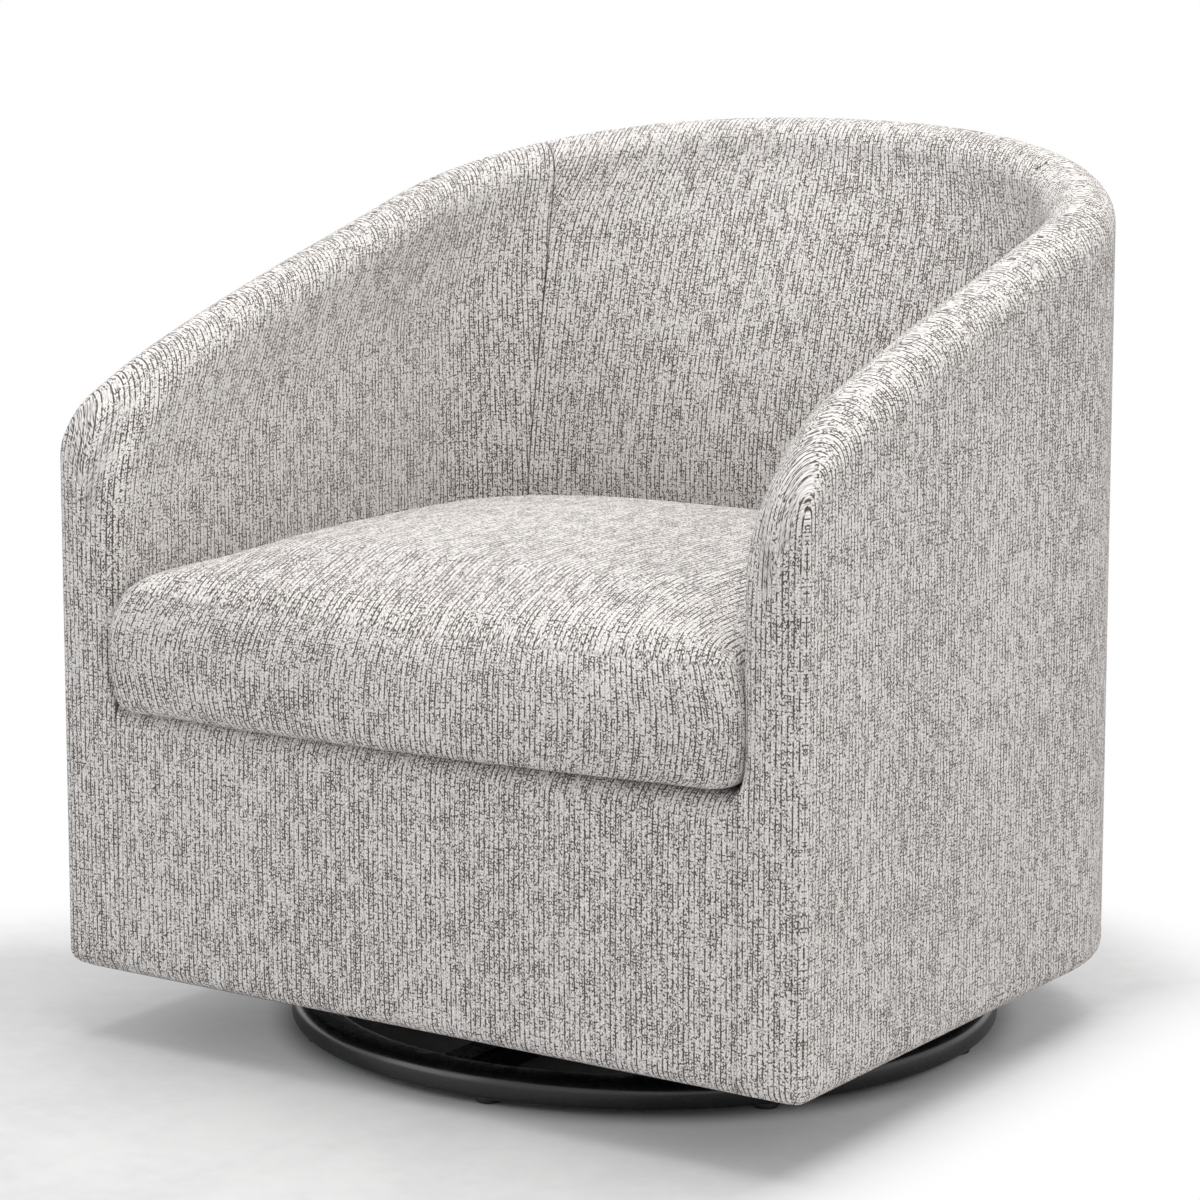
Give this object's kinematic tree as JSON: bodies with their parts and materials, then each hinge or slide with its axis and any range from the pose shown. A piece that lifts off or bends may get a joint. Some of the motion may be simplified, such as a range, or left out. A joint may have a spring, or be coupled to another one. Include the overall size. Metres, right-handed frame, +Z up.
{
  "type": "swivel rocker",
  "caption": "Barrel armchair with sloping rounded arms, a loose boxed seat cushion and a spring rocker on a round swivel base.",
  "frame": {"origin": "on the floor, on the swivel axis, which is the middle of the chair's width and depth", "axes": "+Z up along the swivel axis; the chair faces -Y at rest; +X is the right-hand side as seen from the front, and right and left in the node names are meant the same way"},
  "size_m": [0.75, 0.7, 0.787],
  "materials": {
    "upholstery": "ribbed off-white chenille with broken grey-brown flecks",
    "cushion_cloth": "the same ribbed chenille, ribs running front to back",
    "lining": "black non-woven lining",
    "black_paint": "smooth black enamel",
    "bare_steel": "zinc plated",
    "spring_steel": "oil-tempered wire",
    "timber": "planed, unfinished",
    "plywood": "sawn plywood",
    "rubber": "moulded, matt",
    "black_plastic": "moulded, matt"
  },
  "bodies": {
    "base": {"base_ring": "black_paint", "base_arm_1": "black_paint", "base_arm_2": "black_paint", "base_arm_3": "black_paint", "base_arm_4": "black_paint", "glide_1": "black_plastic", "glide_2": "black_plastic", "glide_3": "black_plastic", "glide_4": "black_plastic", "glide_5": "black_plastic", "glide_6": "black_plastic", "glide_7": "black_plastic", "glide_8": "black_plastic", "lower_bearing_plate": "bare_steel", "bearing_balls": "bare_steel", "kingpin_bolt": "bare_steel", "kingpin_washer": "bare_steel", "kingpin_nut": "bare_steel"},
    "swivel": {"upper_bearing_plate": "bare_steel", "pivot_bracket_right": "black_paint", "pivot_bracket_left": "black_paint", "rock_pin": "bare_steel", "pin_clip_right": "bare_steel", "pin_clip_left": "bare_steel", "coil_spring_1": "spring_steel", "coil_spring_2": "spring_steel", "coil_spring_3": "spring_steel", "coil_spring_4": "spring_steel"},
    "seat": {"rocker_plate": "black_paint", "bumper_1": "rubber", "bumper_2": "rubber", "bumper_3": "rubber", "bumper_4": "rubber", "rocker_bolt_1": "bare_steel", "rocker_bolt_2": "bare_steel", "rocker_bolt_3": "bare_steel", "rocker_bolt_4": "bare_steel", "cross_rail_front": "timber", "cross_rail_rear": "timber", "right_arm_frame": "plywood", "left_arm_frame": "plywood", "back_frame": "plywood", "front_rail_board": "timber", "back_rail": "timber", "seat_spring_1": "spring_steel", "seat_spring_2": "spring_steel", "seat_spring_3": "spring_steel", "seat_spring_4": "spring_steel", "right_arm": "upholstery", "left_arm": "upholstery", "back": "upholstery", "front_rail": "upholstery", "seat_deck": "lining", "dust_cover": "lining", "seat_cushion": "cushion_cloth"}
  },
  "joints": [
    {"name": "swivel", "type": "hinge", "parent": "base", "child": "swivel", "pos_m": [0, 0, 0.0396], "axis": [0, 0, 1], "continuous": true},
    {"name": "rock", "type": "hinge", "parent": "swivel", "child": "seat", "pos_m": [0, 0, 0.0769], "axis": [1, 0, 0], "range_deg": [-5, 5], "stiffness_Nm_per_rad": 800, "springref_deg": 0.47, "deforming": ["coil_spring_1", "coil_spring_2", "coil_spring_3", "coil_spring_4"]}
  ]
}
